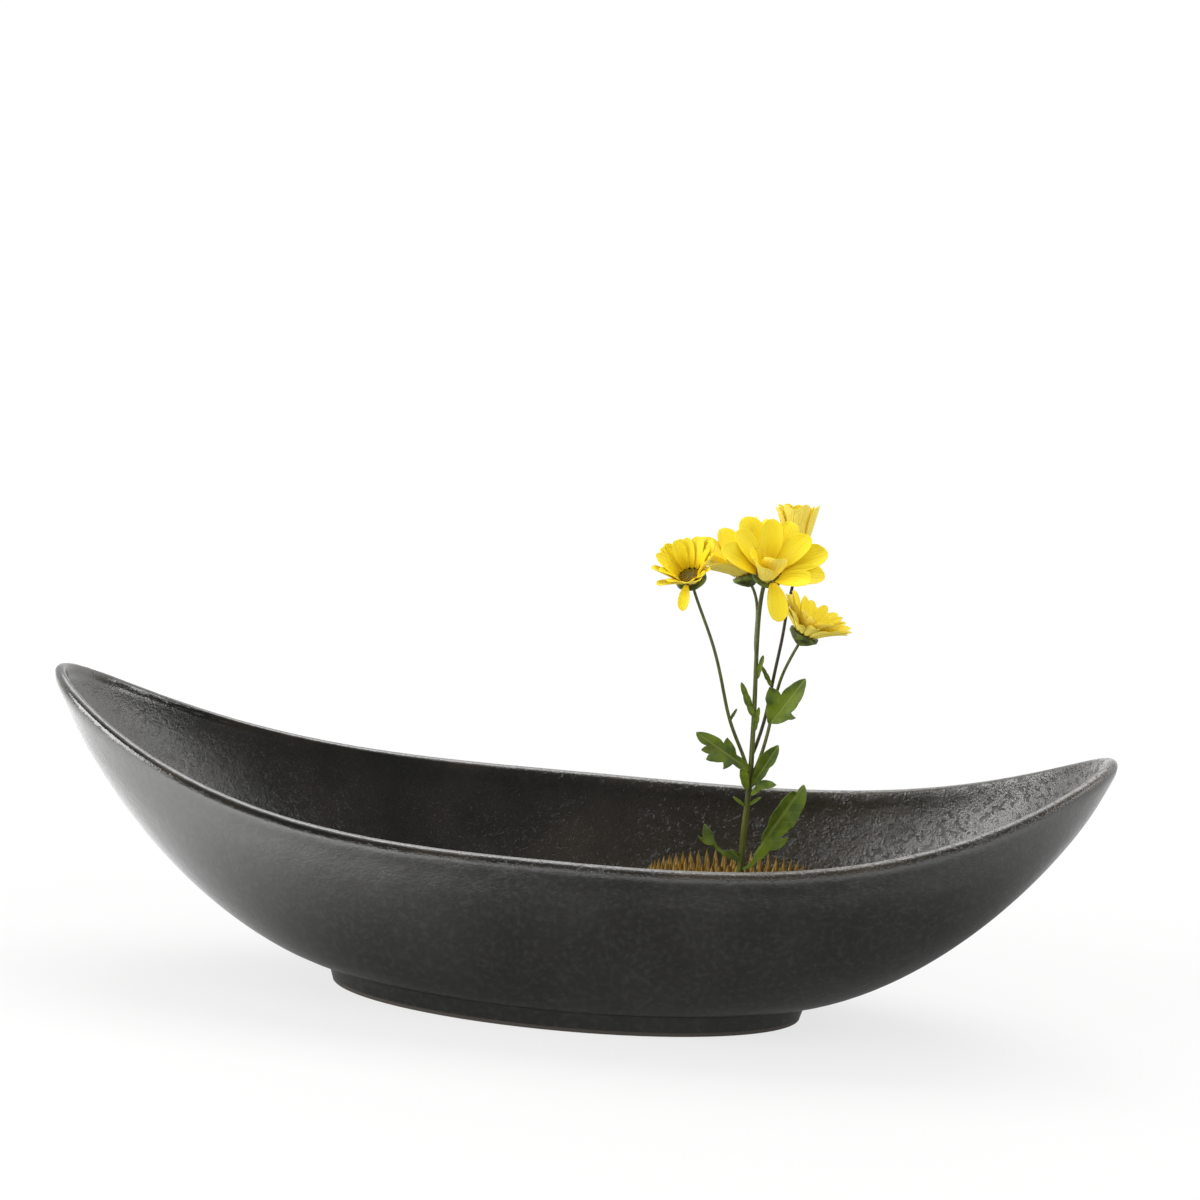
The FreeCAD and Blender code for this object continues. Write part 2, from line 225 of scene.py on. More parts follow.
bpy.ops.mesh.primitive_plane_add(size=paper_width, location=(0, 0, -paper_drop))
paper = bpy.context.object
paper.name = "paper_floor"
paper_finish, paper_place = new_finish("white_paper")
from_middle = paper_place.length()
# painted light: a pool of light on the paper to the left of the bowl, seen only in reflections
left_pool_mask = (1 - paper_place.axis("X").band(left_side, 0.0)) * from_middle.band(left_near, left_far)
seen = paper_place.node("ShaderNodeLightPath", {}, {}, "Is Camera Ray")
mirrored = paper_place.node("ShaderNodeLightPath", {}, {}, "Is Glossy Ray")
seen_level = seen * (shadow_level + (1 - shadow_level) * from_middle.band(paper_near, paper_far))
# in reflections the paper glows, dim under the bowl as a painted shadow and bright at the left as
# painted light
mirrored_level = (painted_shadow_under_bowl + from_middle.band(mirrored_near, mirrored_far)
                  + painted_light_left * left_pool_mask)
lay_on(paper_finish, Base_Color=(seen_level + mirrored).mixed(paper_colour, paper_black),
       Roughness=0.9, Specular_IOR_Level=0.1,
       Emission_Color=seen_level + mirrored * mirrored_level, Emission_Strength=1.0)
paper.data.materials.append(paper_finish)

sky = bpy.data.worlds.new("white_room")
sky.use_nodes = True
sky_tree = sky.node_tree
sky_way = Shade(sky_tree, sky_tree.nodes.new("ShaderNodeTexCoord").outputs["Generated"])
sky_mirrored = sky_way.node("ShaderNodeLightPath", {}, {}, "Is Glossy Ray")
sky_seen = (sky_way.node("ShaderNodeLightPath", {}, {}, "Is Camera Ray")
            + sky_way.node("ShaderNodeLightPath", {}, {}, "Is Transmission Ray"))
behind = sky_way.axis("Y").band(room_side, sky_side)
overhead = sky_way.axis("Z").band(0.7, 0.95)
room_level = room_strength + behind * (back_strength - room_strength) + overhead_strength * overhead
sky_level = sky_strength + (1 - sky_strength) * sky_seen + (room_level - sky_strength) * sky_mirrored
sky_tree.nodes["Background"].inputs["Color"].default_value = (1, 1, 1, 1)
sky_tree.links.new(sky_level.socket, sky_tree.nodes["Background"].inputs["Strength"])
bpy.context.scene.world = sky

for lamp_name, lamp_place, lamp_aim, lamp_width, lamp_height, lamp_power in (
        ("window_left", (-1.45, -0.75, 0.56), (0.0, 0.0, 0.04), 1.0, 0.75, 17.0),
        ("window_right", (1.45, -0.6, 0.68), (0.0, 0.0, 0.05), 0.7, 0.6, 5.5),
        ("panel_above", (0.05, 0.5, 1.5), (0.0, 0.0, 0.08), 1.5, 0.9, 13.0)):
    bpy.ops.object.light_add(type="AREA", location=lamp_place)
    lamp = bpy.context.object
    lamp.name = lamp_name
    lamp.data.shape = "RECTANGLE"
    lamp.data.size = lamp_width
    lamp.data.size_y = lamp_height
    lamp.data.energy = lamp_power
    lamp.rotation_euler = (Vector(lamp_aim) - Vector(lamp_place)).to_track_quat("-Z", "Y").to_euler()


# Suiban bowl
# One piece of stoneware, pressed into a boat shape on an oval foot and dipped in a satin black
# glaze. It breaks into pits and brown specks inside and is faintly mottled outside, runs smoother
# on the left half of the lip, and leaves the foot's rim bare. Grey flecks crowding its right tip
# inside are a painted sheen.

mm = 0.001
glaze_black = tint(20, 20, 16)
glaze_brown = tint(68, 59, 47)
glaze_olive = tint(54, 54, 46)
glaze_pit = tint(5, 5, 5)
fleck_and_sheen_grey = tint(118, 116, 110)
bare_clay = tint(74, 65, 56)
bare_foot_height = 0.9 * mm
glaze_relief = 0.26 * mm
lip_middle_height = 51.5 * mm
lip_rise = 29.5 * mm
lip_rise_power = 3.15
half_length = 145.0 * mm

stoneware, place = new_finish("satin_black_stoneware")
up = place.node("ShaderNodeNewGeometry", {}, {}, "Normal").axis("Z")
inside = up.band(-0.02, 0.25)
clouds = place.grain(42.0, 3.0, 0.55)
speckle = place.grain(560.0, 3.0, 0.62, 0.15)
fine = place.grain(1900.0, 2.0, 0.6)
pit_field = place.grain(70.0, 2.0)
rightward = place.axis("X").band(-0.06, 0.08)
pits = (1 - speckle.band(0.36, 0.46)) * pit_field.band(0.3, 0.55) * (0.4 + 0.6 * rightward) * inside
# painted sheen: light grey flecks crowd the inside of the right tip in place of its satin reflection;
# a few real flecks lie all over the inside
painted_sheen_right_tip = place.axis("X").band(0.07, 0.12)
flecks_and_painted_sheen = fine.band(0.6, 0.7) * inside * (0.08 + 0.6 * painted_sheen_right_tip)
ground = (0.6 * clouds.band(0.35, 0.7) + 0.4 * rightward).mixed(glaze_black, glaze_brown)
mottle = place.grain(620.0, 4.0, 0.7)
outer_spots = (1 - inside) * (0.45 * mottle.band(0.46, 0.66) + 0.2 * clouds.band(0.4, 0.7))
ground = (inside * 0.8).mixed(glaze_black, ground)
ground = outer_spots.mixed(ground, glaze_olive)
ground = flecks_and_painted_sheen.mixed(ground, fleck_and_sheen_grey)
ground = pits.mixed(ground, glaze_pit)
bare = 1 - place.axis("Z").band(bare_foot_height, bare_foot_height * 1.5)
ground = bare.mixed(ground, bare_clay)
from_centre = place.axis("X").through("ABSOLUTE") / half_length
below_lip = lip_middle_height + lip_rise * from_centre ** lip_rise_power - place.axis("Z")
lip_left = 1 - 0.8 * place.axis("X").band(-0.08, 0.0)
lip = (1 - below_lip.band(1.0 * mm, 2.6 * mm)) * lip_left
shine = 0.11 + 0.10 * clouds + 0.10 * mottle + 0.10 * fine * inside + 0.25 * pits + 0.4 * bare
relief = (0.55 * place.grain(160.0, 2.0) + 0.24 * fine * inside + 0.36 * fine + 0.3 * mottle
          - 0.4 * pits)
lay_on(stoneware, relief * (1 - 0.7 * lip), glaze_relief, Base_Color=ground,
       Roughness=shine * (1 - 0.55 * lip), IOR=1.6, Specular_IOR_Level=0.85)
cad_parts["suiban_bowl"].material_slots[0].material = stoneware


# Kenzan ring
# A moulded black rubber ring that grips the pin holder and keeps it from scratching the bowl.
# Its top edge is coloured a little lighter, in patches.

rubber_black = tint(14, 14, 16)
rubber_light_grey = tint(36, 36, 39)
rubber_relief = 0.05 * mm
lighter_edge_low = 20.5 * mm
lighter_edge_high = 22.4 * mm

rubber, place = new_finish("black_rubber")
dust = place.grain(55.0, 3.0)
# lighter grey in patches along the top edge of the ring, and a little where dust lies
lighter_top_edge = place.axis("Z").band(lighter_edge_low, lighter_edge_high) * dust.band(0.35, 0.7)
mould_grain = place.grain(2600.0, 2.0)
lay_on(rubber, 0.7 * mould_grain + 0.3 * place.grain(240.0), rubber_relief,
       Base_Color=(0.6 * lighter_top_edge + 0.25 * dust.band(0.5, 0.8)).mixed(rubber_black, rubber_light_grey),
       Roughness=0.44 + 0.16 * dust, Specular_IOR_Level=0.22)
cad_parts["kenzan_ring"].material_slots[0].material = rubber


# Kenzan plate
# A disc of cast lead alloy, turned at its rim to a bevelled shoulder that stands just above the
# rubber. The skin is silvery grey and dull where it has been handled.

lead_bright = tint(174, 171, 177)
lead_dull = tint(132, 128, 136)
lead_relief = 0.09 * mm
plate_middle = Vector((44.0 * mm, 0.0, 0.0))
turning_rate = 9000.0

lead, place = new_finish("cast_lead_alloy")
from_axis = place.node("ShaderNodeVectorMath", {"operation": "SUBTRACT"},
                       {0: place, 1: plate_middle})
turning = (from_axis.stretched(1, 1, 0).length() * turning_rate).through("SINE")
tarnish = place.grain(95.0, 4.0, 0.6)
scuffs = place.stretched(1, 1, 4).grain(420.0, 3.0, 0.7)
lay_on(lead, 0.25 * turning + scuffs, lead_relief,
       Base_Color=(0.85 * tarnish.band(0.35, 0.68)).mixed(lead_bright, lead_dull),
       Metallic=1.0, Roughness=0.27 + 0.22 * scuffs)
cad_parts["kenzan_base"].material_slots[0].material = lead


# Kenzan pins
# Some 330 pointed pins of drawn brass wire, set upright in the plate in rings. Each has its own
# tone, and all are browner towards their points, where water and stems have darkened them.

brass_bright = tint(232, 206, 132)
brass_deep = tint(198, 162, 74)
brass_dark = tint(104, 82, 50)
brass_relief = 0.04 * mm
pin_low = 25.0 * mm
pin_tip = 39.0 * mm

brass, place = new_finish("drawn_brass")
tone = place.stretched(1, 1, 0).grain(520.0, 0.0)
wire = place.stretched(1, 1, 0.06).grain(5200.0, 2.0)
height = (place.axis("Z") - pin_low) / (pin_tip - pin_low)
stain = height.band(0.55, 1.0) * (0.45 + 0.7 * place.grain(260.0, 2.0))
brass_colour = tone.band(0.34, 0.66).mixed(brass_bright, brass_deep)
brass_colour = (0.35 * wire.band(0.5, 0.75)).mixed(brass_colour, brass_deep)
brass_colour = (0.9 * stain).mixed(brass_colour, brass_dark)
lay_on(brass, wire, brass_relief, Base_Color=brass_colour, Metallic=1.0,
       Roughness=0.24 + 0.16 * tone + 0.2 * stain)
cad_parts["kenzan_pins"].material_slots[0].material = brass


# Stems
# The cut spray's main stem and its side stalks, fleshy and finely ribbed lengthwise. They are
# olive green where the light reaches them, and the stalk at the back has turned nearly black.

stem_olive = tint(96, 104, 38)
stem_shadow = tint(56, 62, 26)
stalk_black = tint(34, 33, 24)
stalk_brown = tint(62, 54, 34)
stem_relief = 0.12 * mm

for slot, light, dark in (("stem_green", stem_olive, stem_shadow),
                          ("stalk_dark", stalk_brown, stalk_black)):
    stem_skin, place = new_finish(slot + "_skin")
    ribs = place.stretched(1, 1, 0.04).grain(2600.0, 2.0)
    blush = place.grain(90.0, 2.0)
    darkness = 0.55 * ribs.band(0.4, 0.6) + 0.5 * blush.band(0.4, 0.7)
    lay_on(stem_skin, ribs, stem_relief, Base_Color=darkness.mixed(light, dark),
           Roughness=0.42 + 0.15 * ribs, Specular_IOR_Level=0.35)
    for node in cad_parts.values():
        if node.material_slots[0].material.name == slot:
            node.material_slots[0].material = stem_skin


# Leaves
# Lobed leaves that taper straight onto the stem, folded a little along the midrib and drooping at
# the tip. The upper side is deep green with paler veins, the underside matt and greyer.

leaf_green = tint(104, 124, 20)
leaf_deep = tint(66, 86, 12)
leaf_vein = tint(134, 148, 64)
leaf_under = tint(104, 122, 66)
leaf_relief = 0.1 * mm
leaf_sheet = 0.26 * mm
leaf_cuts = 3
leaf_ripple = 0.08
leaf_ripple_rate = 21
leaf_smooth_degrees = 50
lobe_swell = 0.07
side_vein_rate = 58.0
side_vein_slant = 0.9

leaf_top, place = new_finish("leaf_upper_side")
flat = place.flat()
across = (flat.axis("Y") - 0.5).through("ABSOLUTE")
midrib = 1 - across.band(0.006, 0.02)
side_veins = ((flat.axis("X") - side_vein_slant * across) * side_vein_rate).through("SINE")
veins = place.sum("MAXIMUM", midrib, 0.3 * side_veins.band(0.8, 1.0))
cells = place.grain(1500.0, 3.0, 0.6)
leaf_colour = place.grain(160.0, 2.0).band(0.35, 0.65).mixed(leaf_green, leaf_deep)
leaf_colour = (0.5 * veins).mixed(leaf_colour, leaf_vein)
lay_on(leaf_top, 0.5 * cells - 0.6 * veins, leaf_relief, Base_Color=leaf_colour,
       Roughness=0.42 + 0.2 * cells, Specular_IOR_Level=0.35)

leaf_back, place = new_finish("leaf_underside")
cells = place.grain(1500.0, 3.0, 0.6)
lay_on(leaf_back, 0.6 * cells, leaf_relief,
       Base_Color=(0.6 * cells.band(0.35, 0.7)).mixed(leaf_under, leaf_green),
       Roughness=0.62 + 0.15 * cells)


def swollen(outline):
    """The outline with two more points on each edge, moved outwards, so that lobes are rounded."""
    middle = sum((Vector(point) for point in outline), Vector((0, 0))) / len(outline)
    rounded = []
    for index, start in enumerate(outline):
        start, end = Vector(start), Vector(outline[(index + 1) % len(outline)])
        outwards = Vector((end.y - start.y, start.x - end.x))
        if outwards.dot((start + end) / 2 - middle) < 0:
            outwards = -outwards
        rounded.append(start)
        for share in (0.33, 0.67):
            rounded.append(start.lerp(end, share) + outwards * lobe_swell)
    return rounded


def cut_leaf(name, base, tip, facing, outline, droop, fold):
    """One leaf with its outline in shares of its length, from base to tip, its face along facing."""
    length = (tip - base).length
    points = swollen(outline)
    bpy.ops.object.select_all(action="DESELECT")
    bpy.ops.mesh.primitive_circle_add(vertices=len(points), radius=1, fill_type="NGON")
    leaf = bpy.context.object
    leaf.name = name
    for corner, point in zip(leaf.data.vertices, points):
        corner.co = (point.x, point.y, 0)
    bpy.ops.object.mode_set(mode="EDIT")
    bpy.ops.mesh.select_all(action="SELECT")
    bpy.ops.mesh.quads_convert_to_tris(ngon_method="BEAUTY")
    bpy.ops.mesh.subdivide(number_cuts=leaf_cuts)
    bpy.ops.mesh.normals_make_consistent(inside=False)
    bpy.ops.object.mode_set(mode="OBJECT")
    flat_map = leaf.data.uv_layers.active or leaf.data.uv_layers.new(name="UVMap")
    flat_map.name = "UVMap"
    for corner in leaf.data.loops:
        point = leaf.data.vertices[corner.vertex_index].co
        flat_map.data[corner.index].uv = (point.x, point.y + 0.5)
    if leaf.data.polygons[0].normal.z < 0:
        leaf.data.flip_normals()
    for corner in leaf.data.vertices:
        along, aside = corner.co.x, corner.co.y
        ripple = leaf_ripple * math.sin(along * leaf_ripple_rate) * abs(aside)
        corner.co.z = fold * abs(aside) - droop * along ** 2 + ripple
    along = (tip - base).normalized()
    side = facing.cross(along).normalized()
    facing = along.cross(side).normalized()
    turn = Matrix((along, side, facing)).transposed().to_4x4()
    leaf.data.transform(Matrix.Translation(base) @ turn @ Matrix.Scale(length, 4))
    leaf.data.materials.append(leaf_top)
    leaf.data.materials.append(leaf_back)
    sheet = leaf.modifiers.new("sheet", "SOLIDIFY")
    sheet.thickness = leaf_sheet
    sheet.offset = -1
    sheet.material_offset = 1
    sheet.material_offset_rim = 0
    bpy.ops.object.modifier_apply(modifier="sheet")
    bpy.ops.object.shade_smooth_by_angle(angle=math.radians(leaf_smooth_degrees))
    return leaf


# name: base and tip in millimetres, the way the face looks, droop, fold, and the outline, each point
# as its shares of the leaf's length along it and across it
leaf_outlines = {
    "leaf_right_upper": (
        (51.1, -2.9, 83.0), (59.8, -7.1, 97.2), (0.1, -1, 0.35), 0.1, 0.35,
        ((0.0, 0.02), (0.08, 0.09), (0.3, 0.23), (0.56, 0.36), (0.59, 0.25), (0.55, 0.14),
         (0.76, 0.12), (1.0, 0.0), (0.87, -0.09), (0.63, -0.15), (0.43, -0.15), (0.44, -0.26),
         (0.32, -0.19), (0.04, -0.02))),
    "leaf_left_middle": (
        (46.5, -3.3, 70.0), (32.4, -8.3, 80.4), (-0.1, -1, 0.45), 0.08, 0.3,
        ((0.0, -0.03), (0.3, -0.07), (0.58, -0.2), (0.57, -0.1), (0.76, -0.11), (1.0, 0.0),
         (0.88, 0.08), (0.76, 0.07), (0.8, 0.17), (0.67, 0.15), (0.67, 0.25), (0.42, 0.13),
         (0.37, 0.22), (0.27, 0.07), (0.0, 0.03))),
    "leaf_right_lower": (
        (46.5, -3.5, 42.0), (61.7, -6.9, 67.6), (0.3, -1, 0.3), 0.06, 0.35,
        ((0.0, 0.015), (0.14, -0.02), (0.3, 0.0), (0.49, 0.05), (0.71, 0.08), (0.9, 0.05),
         (0.9, 0.01), (1.0, 0.0), (0.94, -0.07), (0.77, -0.12), (0.57, -0.12), (0.46, -0.09),
         (0.52, -0.16), (0.43, -0.16), (0.31, -0.09), (0.14, -0.06), (0.0, -0.015))),
    "leaf_left_lower": (
        (45.9, -3.1, 44.5), (36.2, -7.9, 54.9), (-0.1, -1, 0.5), 0.06, 0.25,
        ((0.0, 0.03), (0.24, 0.14), (0.41, 0.17), (0.62, 0.16), (0.77, 0.26), (0.98, 0.23),
         (0.85, 0.2), (0.97, 0.07), (1.0, 0.0), (0.86, 0.01), (0.74, 0.03), (0.62, 0.1),
         (0.43, 0.11), (0.27, -0.02), (0.0, -0.03))),
    "leaf_right_middle": (
        (47.1, -3.1, 65.2), (54.0, -5.8, 77.9), (0.2, -1, 0.3), 0.08, 0.4,
        ((0.0, -0.02), (0.38, 0.1), (0.64, 0.17), (1.0, 0.0), (0.79, -0.1), (0.53, -0.09))),
    "leaf_on_stem": (
        (46.5, -3.5, 64.0), (44.4, -5.9, 71.0), (-0.1, -1, 0.2), 0.05, 0.4,
        ((0.0, 0.02), (0.55, 0.12), (1.0, 0.0), (0.87, -0.16), (0.49, -0.16))),
    "leaf_right_small": (
        (47.1, -3.0, 62.5), (54.0, -5.8, 67.1), (0.1, -1, 0.6), 0.06, 0.3,
        ((0.0, 0.0), (0.3, 0.2), (0.6, 0.3), (0.85, 0.2), (1.0, 0.0), (0.48, 0.06))),
}
for node, (base, tip, facing, droop, fold, outline) in leaf_outlines.items():
    leaf = cut_leaf(node + "_blade", Vector(base) * mm, Vector(tip) * mm, Vector(facing), outline,
                    droop, fold)
    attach(leaf, "spray")
    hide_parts(node)


# Bracts
# Narrow pointed scales, left where buds and leaves have dropped off, in pairs or alone along the
# stem and its stalks.

bract_outline = ((0.0, 0.04), (0.3, 0.07), (0.62, 0.065), (1.0, 0.0), (0.62, -0.065), (0.3, -0.07),
                 (0.0, -0.04))
bract_facing = Vector((0, -1, 0))
bract_droop = -0.06
bract_fold = 0.5
bract_places = (((46.5, -3.1, 85.2), (42.8, -3.7, 94.6)),
                ((47.1, -3.1, 81.0), (48.1, -3.7, 88.0)),
                ((45.9, -3.3, 59.8), (42.6, -3.9, 62.3)),
                ((47.1, -3.1, 60.2), (50.2, -3.7, 62.8)),
                ((46.8, -3.1, 95.5), (48.3, -3.6, 102.5)),
                ((50.3, 3.5, 92.0), (47.4, 3.0, 97.6)),
                ((40.6, -5.4, 84.0), (42.3, -5.5, 87.4)))


def gather(name, parts):
    """Joins small parts into one piece that rides on the spray."""
    bpy.ops.object.select_all(action="DESELECT")
    for part in parts:
        part.select_set(True)
    bpy.context.view_layer.objects.active = parts[0]
    bpy.ops.object.join()
    joined = bpy.context.object
    joined.name = name
    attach(joined, "spray")
    return joined


bracts = []
for number, (base, tip) in enumerate(bract_places):
    bracts.append(cut_leaf("bract_%d" % number, Vector(base) * mm, Vector(tip) * mm, bract_facing,
                           bract_outline, bract_droop, bract_fold))
bracts = gather("bract_scales", bracts)
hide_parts("bracts")


# Blooms
# Five yellow chrysanthemums. Each sits on a green cup of overlapping scales and has a domed disc
# of tiny tube flowers inside two whorls of ray petals, lemon yellow with paler, ochre backs.

disc_radius = 3.2 * mm
disc_dome = 1.7 * mm
petal_columns = 8
petal_rows = 6
petal_sheet = 0.22 * mm
petal_lemon = tint(253, 230, 36)
petal_gold = tint(240, 204, 18)
petal_pale = tint(252, 232, 104)
petal_ochre = tint(242, 212, 62)
petal_widths = (0.3, 0.52, 0.74, 0.89, 0.98, 1.0, 0.95, 0.8, 0.5)
petal_channel = (1.0, 0.42, 0.06, 0.16, 0.06, 0.42, 1.0)
petal_tip = (-0.085, -0.022, -0.012, 0.0, -0.012, -0.022, -0.085)
petal_camber = 0.17
petal_curls = (-6, 0, 10)
petal_face_relief = 0.07 * mm
petal_back_relief = 0.08 * mm
ridge_rate = 44.0
root_height = 0.45 * mm
outer_root = 0.1 * mm
inner_root = -0.35 * mm
hanging_degrees = -24
hanging_size = 0.8

petal_face, place = new_finish("petal_face")
flat = place.flat()
ridges = (flat.axis("Y") * ridge_rate).through("SINE")
streaks = flat.stretched(1.4, 26, 0).grain(1.0, 2.0)
# painted shade: the face deepens to gold towards the root, where the petals crowd round the disc
depth = 1 - flat.axis("X").band(0.0, 0.5)
face_colour = (0.75 * depth + 0.5 * streaks.band(0.5, 0.75)).mixed(petal_lemon, petal_gold)
lay_on(petal_face, 0.5 + 0.28 * ridges + 0.3 * streaks, petal_face_relief,
       Base_Color=face_colour, Roughness=0.46 + 0.12 * streaks, Specular_IOR_Level=0.35)

petal_back, place = new_finish("petal_back")
flat = place.flat()
ridges = (flat.axis("Y") * ridge_rate).through("SINE")
streaks = flat.stretched(1.6, 22, 0).grain(1.0, 3.0, 0.6)
back_colour = (0.7 * streaks.band(0.4, 0.7)).mixed(petal_pale, petal_ochre)
lay_on(petal_back, 0.5 + 0.4 * ridges + 0.3 * streaks, petal_back_relief,
       Base_Color=back_colour, Roughness=0.58 + 0.12 * streaks, Specular_IOR_Level=0.3)

floret_green = tint(104, 98, 24)
floret_olive = tint(132, 110, 18)
floret_amber = tint(172, 134, 16)
floret_gold = tint(196, 158, 26)
floret_ramp = ((0.0, floret_green), (0.45, floret_olive), (0.8, floret_amber), (1.0, floret_gold))
floret_relief = 0.08 * mm

floret, place = new_finish("disc_florets")
ripe = place.flat()
ripeness = ripe.axis("X") + 0.25 * (ripe.axis("Y") - 0.5)
floret_colour = ripeness.node("ShaderNodeValToRGB", {"stops": floret_ramp}, {"Fac": ripeness}, "Color")
lay_on(floret, place.grain(3200.0), floret_relief, Base_Color=floret_colour, Roughness=0.6)

calyx_green = tint(104, 118, 44)
calyx_deep = tint(54, 64, 26)
calyx_relief = 0.1 * mm

calyx_skin, place = new_finish("calyx_skin")
cells = place.grain(1200.0, 3.0, 0.6)
calyx_streak = place.grain(420.0, 2.0)
lay_on(calyx_skin, cells, calyx_relief,
       Base_Color=calyx_streak.band(0.38, 0.62).mixed(calyx_green, calyx_deep),
       Roughness=0.5 + 0.15 * cells, Specular_IOR_Level=0.35)


def pick(piece, wanted):
    """In edit mode, selects the points whose number passes the test."""
    mesh = bmesh.from_edit_mesh(piece.data)
    for point in mesh.verts:
        point.select = wanted(point.index)
    mesh.select_flush(True)
    bmesh.update_edit_mesh(piece.data)


def make_ray(name, length, width, camber, curl_degrees, widths, channel, tip, sheet_thickness,
             skins):
    """
    One petal or scale, its root at the origin: a strip along +X, channelled and curled down. Widths
    run from root to tip, and channel and tip from edge to edge, all in shares.
    """
    bpy.ops.object.select_all(action="DESELECT")
    bpy.ops.mesh.primitive_grid_add(x_subdivisions=petal_columns, y_subdivisions=petal_rows, size=1,
                                    location=(0.5, 0, 0), calc_uvs=True)
    ray = bpy.context.object
    ray.name = name
    bpy.ops.object.transform_apply(location=True)
    columns = [round(point.co.x * petal_columns) for point in ray.data.vertices]
    rows = [round((point.co.y + 0.5) * petal_rows) for point in ray.data.vertices]
    bpy.ops.object.mode_set(mode="EDIT")
    for row, share in enumerate(channel):
        pick(ray, lambda number: rows[number] == row)
        bpy.ops.transform.translate(value=(0, 0, camber * share))
        pick(ray, lambda number: rows[number] == row and columns[number] == petal_columns)
        bpy.ops.transform.translate(value=(tip[row], 0, 0))
    for column, share in enumerate(widths):
        pick(ray, lambda number: columns[number] == column)
        bpy.ops.transform.resize(value=(1, share, share), center_override=(0, 0, 0))
    bpy.ops.mesh.select_all(action="SELECT")
    bpy.ops.transform.resize(value=(length, width, width), center_override=(0, 0, 0))
    hinge = Vector((0, 0, 0))
    bend = math.radians(curl_degrees / (petal_columns - 1))
    for column in range(1, petal_columns):
        heading = bend * (column - 1)
        hinge += Vector((math.cos(heading), 0, -math.sin(heading))) * length / petal_columns
        pick(ray, lambda number: columns[number] > column)
        bpy.ops.transform.rotate(value=-bend, orient_axis="Y", center_override=hinge)
    bpy.ops.object.mode_set(mode="OBJECT")
    for skin in skins:
        ray.data.materials.append(skin)
    sheet = ray.modifiers.new("sheet", "SOLIDIFY")
    sheet.thickness = sheet_thickness
    sheet.offset = -1
    sheet.material_offset = len(skins) - 1
    bpy.ops.object.modifier_apply(modifier="sheet")
    soft = ray.modifiers.new("soft", "SUBSURF")
    soft.levels = 1
    soft.render_levels = 1
    bpy.ops.object.modifier_apply(modifier="soft")
    bpy.ops.object.shade_smooth()
    return ray


def planted(model, place):
    """A copy of a model with its own mesh, moved to its place."""
    copy = model.copy()
    copy.data = model.data.copy()
    copy.data.transform(place)
    bpy.context.collection.objects.link(copy)
    return copy


def seated(side_degrees, out, up, rise_degrees):
    """A place on a bloom: turned to its side, moved out and up, then tilted up by its rise."""
    side = Matrix.Rotation(math.radians(side_degrees), 4, "Z")
    rise = Matrix.Rotation(math.radians(-rise_degrees), 4, "Y")
    return side @ Matrix.Translation((out, 0, up)) @ rise


scale_length = 3.4 * mm
scale_width = 1.9 * mm
scale_camber = 0.18
scale_curl_degrees = -34
scale_sheet = 0.16 * mm
scale_widths = (0.5, 0.8, 1.0, 1.0, 0.95, 0.84, 0.66, 0.42, 0.12)
scale_channel = (1.0, 0.5, 0.12, 0.0, 0.12, 0.5, 1.0)
scale_tip = (-0.05, -0.03, -0.01, 0.0, -0.01, -0.03, -0.05)
cup_scale = make_ray("cup_scale", scale_length, scale_width, scale_camber, scale_curl_degrees,
                     scale_widths, scale_channel, scale_tip, scale_sheet, [calyx_skin])

tube_root_radius = 0.2 * mm
tube_mouth_radius = 0.27 * mm
tube_length = 0.75 * mm
tube_wall = 0.1 * mm
tube_depth = 0.2 * mm
tube_count = 96
tube_spread = 0.97
golden_angle_degrees = 137.508

bpy.ops.object.select_all(action="DESELECT")
bpy.ops.mesh.primitive_cone_add(vertices=6, radius1=tube_root_radius, radius2=tube_mouth_radius,
                                depth=tube_length)
tube = bpy.context.object
bpy.ops.object.mode_set(mode="EDIT")
pick(tube, lambda number: tube.data.vertices[number].co.z > 0)
bpy.ops.mesh.inset(thickness=tube_wall)
bpy.ops.transform.translate(value=(0, 0, -tube_depth))
bpy.ops.object.mode_set(mode="OBJECT")
tube.data.materials.clear()
tube.data.materials.append(floret)
if not tube.data.uv_layers:
    tube.data.uv_layers.new(name="UVMap")

# distance from the axis and height in millimetres, rise in degrees, and number of scales
cup_rows = ((1.35, -2.75, 44, 11), (2.2, -1.95, 62, 13))

# name, seat in millimetres, axis, petal length and width in millimetres, petals, rise, curl, how much
# lower the outer whorl stands, first petal's direction, how far the petals on one side stand up and
# which side that is, and the sides where a petal hangs, with all angles in degrees
blooms = (
    ("left", (28.294, -12.304, 124.2), (-0.22, -0.45, 0.87), 9.2, 3.9, 23,
     70, 14, 9, 41, -22, 262, (262,)),
    ("centre", (41.794, 3.896, 122.3), (-0.42, 0.12, 0.90), 14.0, 6.0, 14,
     70, 13, 14, 39, -34, 262, ()),
    ("front", (48.594, -8.304, 126.2), (0.22, -0.60, 0.77), 13.4, 7.2, 13,
     46, 16, 12, 25, 50, 255, (310,)),
    ("back", (53.894, 9.496, 129.0), (-0.05, 0.25, 0.97), 11.7, 5.3, 10,
     76, 3, -6, 18, 6, 262, ()),
    ("lower", (59.094, -5.204, 109.8), (0.42, 0.05, 0.90), 9.8, 3.0, 31,
     58, 14, 15, 0, -6, 262, ()))
chance = random.Random(11)
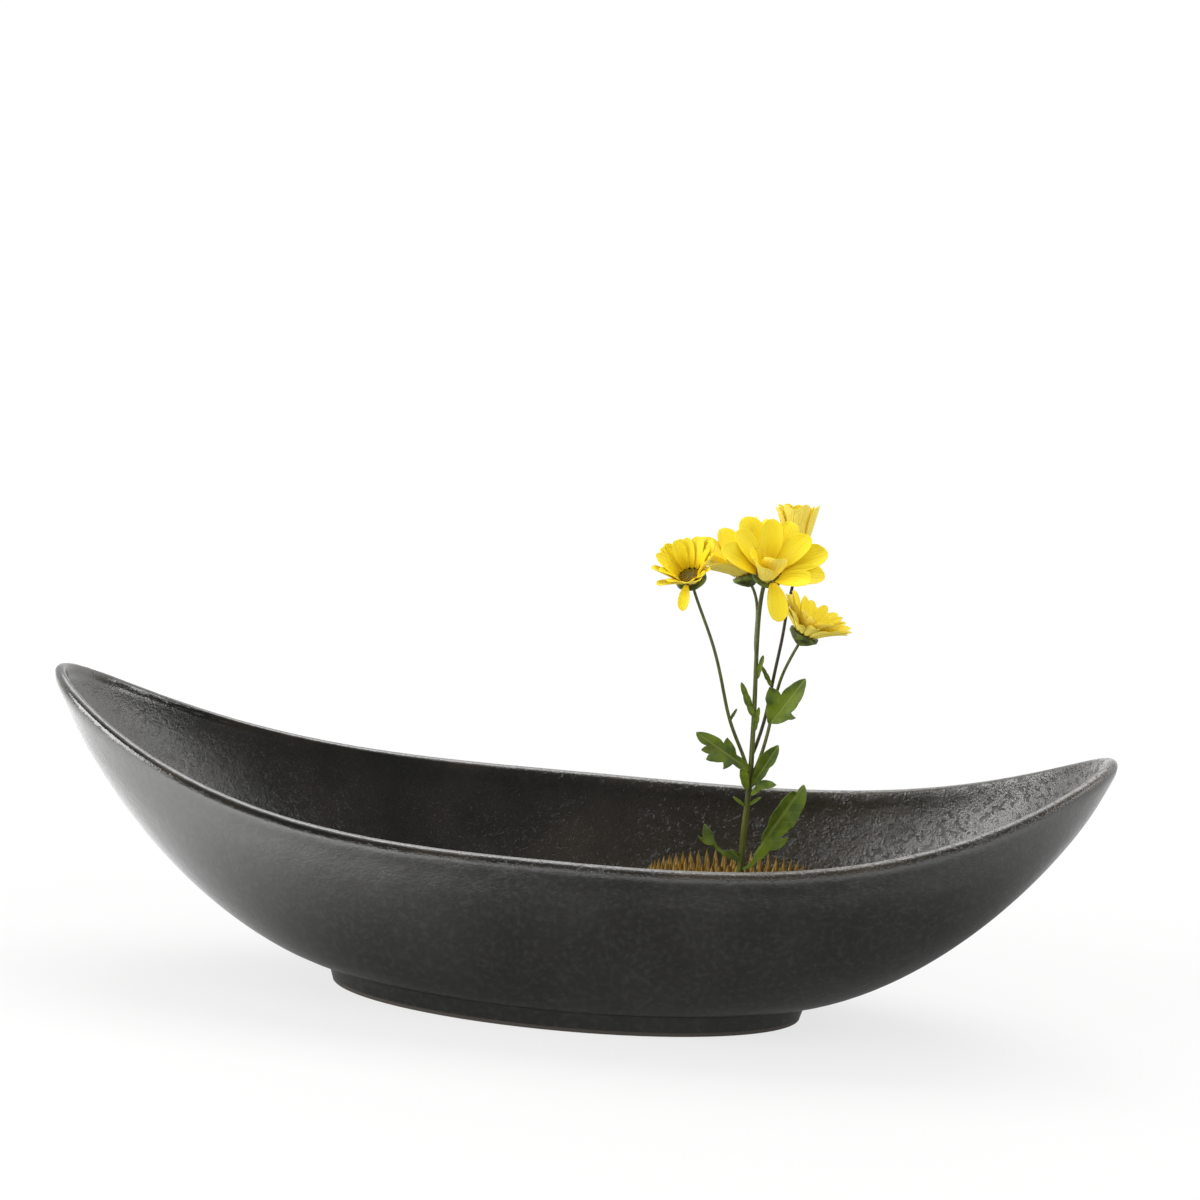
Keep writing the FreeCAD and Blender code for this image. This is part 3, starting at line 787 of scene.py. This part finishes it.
for (name, seat, axis, length, width, count,
     rise, curl, whorl, spin, lift, lift_side, hanging) in blooms:
    lean = Vector((0, 0, 1)).rotation_difference(Vector(axis).normalized()).to_matrix().to_4x4()
    bloom = Matrix.Translation(Vector(seat) * mm) @ lean

    models = []
    for number, more_curl in enumerate(petal_curls):
        models.append(make_ray("petal_%d" % number, length * mm, width * mm, petal_camber,
                               curl + more_curl, petal_widths, petal_channel, petal_tip, petal_sheet,
                               [petal_face, petal_back]))
    petals = []
    for step in range(count):
        outer = step % 2 == 0
        side = spin + 360 * step / count + chance.uniform(-4, 4)
        steep = rise - (whorl if outer else 0) + chance.uniform(-5, 5)
        steep += lift * max(0.0, math.cos(math.radians(side - lift_side))) ** 2
        hangs = False
        for hanging_side in hanging:
            hangs = hangs or (outer and abs((side - hanging_side + 180) % 360 - 180) < 180 / count)
        steep = hanging_degrees if hangs else steep
        root = disc_radius + (outer_root if outer else inner_root)
        size = Matrix.Scale(hanging_size if hangs else chance.uniform(0.92, 1.04), 4)
        roll = Matrix.Rotation(math.radians(chance.uniform(-9, 9)), 4, "X")
        model = models[chance.randrange(len(models))]
        petals.append(planted(model, bloom @ seated(side, root, root_height, steep) @ roll @ size))
    petals = gather("bloom_" + name + "_ray_petals", petals)
    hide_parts("bloom_" + name + "_petals")
    for model in models:
        bpy.data.objects.remove(model)

    dome = (disc_radius ** 2 + disc_dome ** 2) / (2 * disc_dome)
    tubes = []
    for step in range(tube_count):
        share = math.sqrt((step + 0.5) / tube_count)
        reach = disc_radius * tube_spread * share
        slope = math.asin(reach / dome)
        height = dome * math.cos(slope) - (dome - disc_dome)
        size = Matrix.Scale(0.72 + 0.42 * share, 4)
        one = planted(tube, bloom @ seated(golden_angle_degrees * step, reach, height,
                                           -math.degrees(slope)) @ size)
        tone = chance.random()
        for corner in one.data.uv_layers[0].data:
            corner.uv = (share, tone)
        tubes.append(one)
    florets = gather("bloom_" + name + "_florets", tubes)
    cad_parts["bloom_" + name + "_disc"].material_slots[0].material = floret

    scales = []
    for row, (root, height, steep, number) in enumerate(cup_rows):
        for step in range(number):
            side = 360 * (step + 0.5 * row) / number
            scales.append(planted(cup_scale, bloom @ seated(side, root * mm, height * mm, steep)))
    scales = gather("bloom_" + name + "_cup_scales", scales)
    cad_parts["bloom_" + name + "_calyx"].material_slots[0].material = calyx_skin

bpy.data.objects.remove(cup_scale)
bpy.data.objects.remove(tube)
